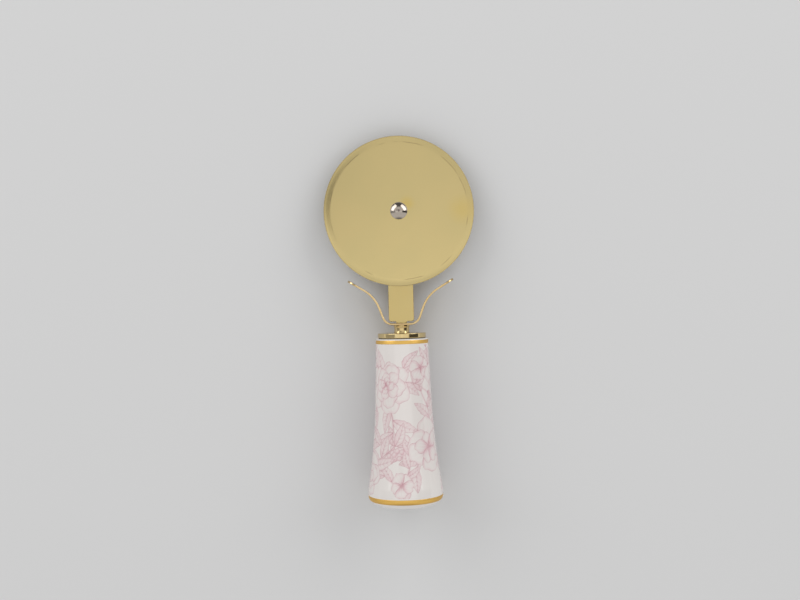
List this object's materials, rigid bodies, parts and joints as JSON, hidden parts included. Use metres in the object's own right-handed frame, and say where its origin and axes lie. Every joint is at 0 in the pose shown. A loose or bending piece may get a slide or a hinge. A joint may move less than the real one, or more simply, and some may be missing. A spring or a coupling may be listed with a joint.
{
  "type": "pizza cutter",
  "caption": "Wheel pizza cutter: a free-turning round blade on a flat arm, with a winged finger guard, round collar and flared porcelain handle.",
  "frame": {"origin": "centre of the flat foot at the handle's end", "axes": "+Y runs along the handle towards the blade, +Z is the blade's turning axis on the side of the domed rivet head, +X is across"},
  "size_m": [0.09, 0.2224, 0.0448],
  "materials": {
    "satin_gold_steel": "satin",
    "polished_gold": "polished",
    "rivet_steel": "polished",
    "washer_plastic": "satin",
    "porcelain": "gloss",
    "gilding": "polished",
    "seal_rubber": "matte",
    "bonding_cement": "matte",
    "cork": "matte"
  },
  "bodies": {
    "frame": {"blade_washer": "washer_plastic", "front_rivet": "rivet_steel", "rear_rivet": "rivet_steel", "arm": "satin_gold_steel", "finger_guard": "polished_gold", "neck_spool": "polished_gold", "collar_plate": "polished_gold", "collar_seal": "seal_rubber", "handle": "porcelain", "upper_gilt_band": "gilding", "lower_gilt_band": "gilding", "bonding_cement": "bonding_cement", "socket_stopper": "cork"},
    "wheel": {"blade": "satin_gold_steel"}
  },
  "joints": [
    {"name": "blade_spin", "type": "hinge", "parent": "frame", "child": "wheel", "pos_m": [0, 0.1774, 0.0024], "axis": [0, 0, 1], "continuous": true}
  ]
}
